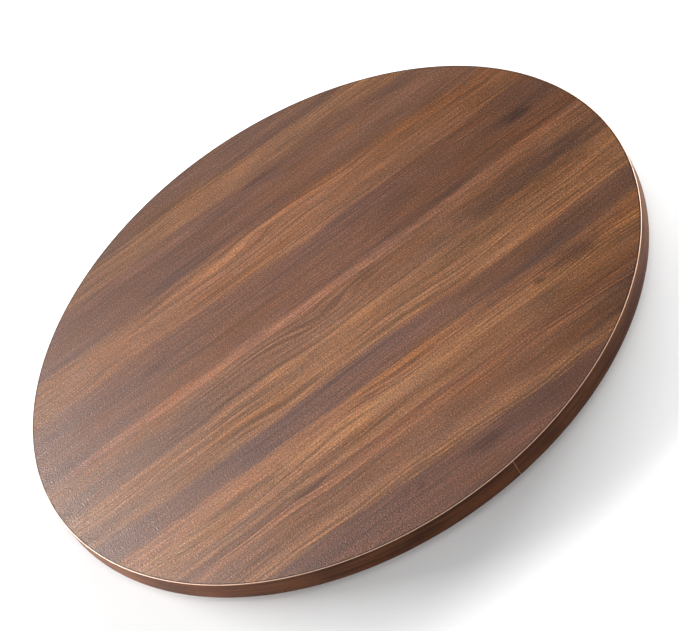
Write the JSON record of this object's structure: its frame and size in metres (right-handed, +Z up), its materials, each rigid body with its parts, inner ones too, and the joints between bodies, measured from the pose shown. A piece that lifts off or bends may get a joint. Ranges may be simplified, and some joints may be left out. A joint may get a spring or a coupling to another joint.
{
  "type": "lazy susan turntable",
  "caption": "Round wood-look board that spins on a flat two-ring ball bearing with rubber feet, for passing dishes round a table.",
  "frame": {"origin": "on the axis of rotation, at the level of the feet's undersides, where the object stands on a table", "axes": "+Z up along the axis of rotation; +X along the grain of the board at rest; the joint in the edging faces -Y and slightly +X"},
  "size_m": [0.8118, 0.8118, 0.0436],
  "materials": {
    "walnut_laminate": "satin walnut-look laminate, straight grain along X",
    "walnut_edging": "satin walnut-print edging, grain round the rim, paler where its corner is trimmed",
    "fibreboard": "raw medium-density fibreboard",
    "aluminium": "turned and clear anodised",
    "ball_steel": "polished bearing steel",
    "cage_nylon": "natural nylon",
    "zinc_steel": "zinc plated",
    "black_steel": "black oxide",
    "rubber": "matt black"
  },
  "bodies": {
    "base": {"base_ring": "aluminium", "loading_plug": "black_steel", "rubber_foot_1": "rubber", "rubber_foot_2": "rubber", "rubber_foot_3": "rubber", "rubber_foot_4": "rubber", "rubber_foot_5": "rubber", "rubber_foot_6": "rubber", "rubber_foot_7": "rubber", "rubber_foot_8": "rubber"},
    "cage": {"ball_cage": "cage_nylon", "ball_01": "ball_steel", "ball_02": "ball_steel", "ball_03": "ball_steel", "ball_04": "ball_steel", "ball_05": "ball_steel", "ball_06": "ball_steel", "ball_07": "ball_steel", "ball_08": "ball_steel", "ball_09": "ball_steel", "ball_10": "ball_steel", "ball_11": "ball_steel", "ball_12": "ball_steel", "ball_13": "ball_steel", "ball_14": "ball_steel", "ball_15": "ball_steel", "ball_16": "ball_steel", "ball_17": "ball_steel", "ball_18": "ball_steel", "ball_19": "ball_steel", "ball_20": "ball_steel", "ball_21": "ball_steel", "ball_22": "ball_steel", "ball_23": "ball_steel", "ball_24": "ball_steel", "ball_25": "ball_steel", "ball_26": "ball_steel", "ball_27": "ball_steel", "ball_28": "ball_steel", "ball_29": "ball_steel", "ball_30": "ball_steel"},
    "top": {"board_core": "fibreboard", "top_laminate": "walnut_laminate", "bottom_laminate": "walnut_laminate", "edge_band": "walnut_edging", "top_ring": "aluminium", "ring_screw_1": "zinc_steel", "ring_screw_2": "zinc_steel", "ring_screw_3": "zinc_steel", "ring_screw_4": "zinc_steel", "ring_screw_5": "zinc_steel", "ring_screw_6": "zinc_steel", "ring_screw_7": "zinc_steel", "ring_screw_8": "zinc_steel"}
  },
  "joints": [
    {"name": "top_spin", "type": "hinge", "parent": "base", "child": "top", "pos_m": [0, 0, 0.0113], "axis": [0, 0, 1], "continuous": true},
    {"name": "cage_spin", "type": "hinge", "parent": "base", "child": "cage", "pos_m": [0, 0, 0.0113], "axis": [0, 0, 1], "continuous": true}
  ],
  "couplings": [
    {"joint": "cage_spin", "follows": "top_spin", "ratio": 0.49358}
  ]
}
